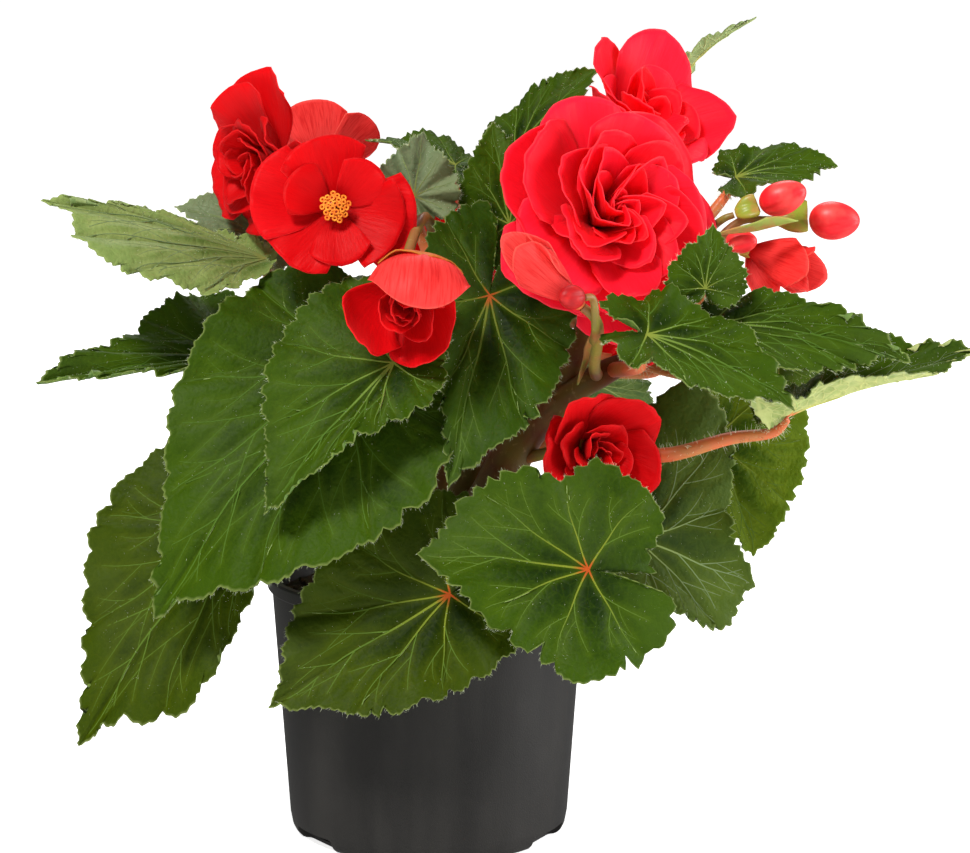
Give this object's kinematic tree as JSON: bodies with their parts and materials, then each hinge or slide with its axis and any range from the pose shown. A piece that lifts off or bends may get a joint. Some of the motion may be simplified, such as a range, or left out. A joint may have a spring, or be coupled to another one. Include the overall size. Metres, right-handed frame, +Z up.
{
  "type": "potted begonia",
  "caption": "Tuberous begonia with large toothed leaves and double red blooms on upright stems, standing in soil in a plain round nursery pot.",
  "frame": {"origin": "centre of the pot's underside, on the surface it stands on", "axes": "+Z up the pot, -Y the side where the most blooms and the largest leaves face, +X to the right of that view"},
  "size_m": [0.3892, 0.2576, 0.343],
  "materials": {
    "pot": "satin black moulded plastic, finely textured, with a slight sheen along the lip",
    "soil": "rough damp peat compost",
    "stem": "succulent, hairy, green turning orange-red towards the leaves and flowers",
    "leaf": "slightly glossy dark green blades with pale veins, hairy toothed margins and paler undersides",
    "petal": "soft satin red petals, paler at their edges, letting light through",
    "bud": "smooth waxy coral",
    "seed_case": "olive green with reddish wings",
    "bract": "thin papery yellow-green",
    "stamens": "orange-yellow, grainy with pollen"
  },
  "bodies": {
    "root": {"pot": "pot", "soil": "soil", "stems": "stem", "leaf_front_right": "leaf", "leaf_front_low": "leaf", "leaf_left_large": "leaf", "leaf_left_front": "leaf", "leaf_centre": "leaf", "leaf_left_hanging": "leaf", "leaf_left_low": "leaf", "leaf_left_top": "leaf", "leaf_left_back": "leaf", "leaf_left_small": "leaf", "leaf_right_low": "leaf", "leaf_right_back": "leaf", "leaf_right_near": "leaf", "leaf_right_long": "leaf", "leaf_right_young": "leaf", "leaf_right_far": "leaf", "leaf_right_behind": "leaf", "leaf_top_right": "leaf", "leaf_top_long": "leaf", "leaf_top_edge": "leaf", "leaf_top_back": "leaf", "leaf_top_crumpled": "leaf", "leaf_top_centre": "leaf", "leaf_back_left": "leaf", "leaf_back_low": "leaf", "leaf_back_right": "leaf", "leaf_back_side": "leaf", "leaf_back_top": "leaf", "bloom_large": "petal", "bloom_top": "petal", "bloom_left": "petal", "bloom_single": "petal", "bloom_left_back": "petal", "bloom_hooded": "petal", "bloom_low": "petal", "bloom_inner": "petal", "bloom_half_open": "petal", "bloom_opening": "petal", "bloom_back": "petal", "bud_right": "bud", "bud_right_upper": "bud", "bud_right_near": "bud", "bud_small": "bud", "bud_back": "bud", "seed_case_right": "seed_case", "seed_case_near": "seed_case", "bract_fork": "bract", "bract_right": "bract", "stamens": "stamens"}
  },
  "joints": []
}
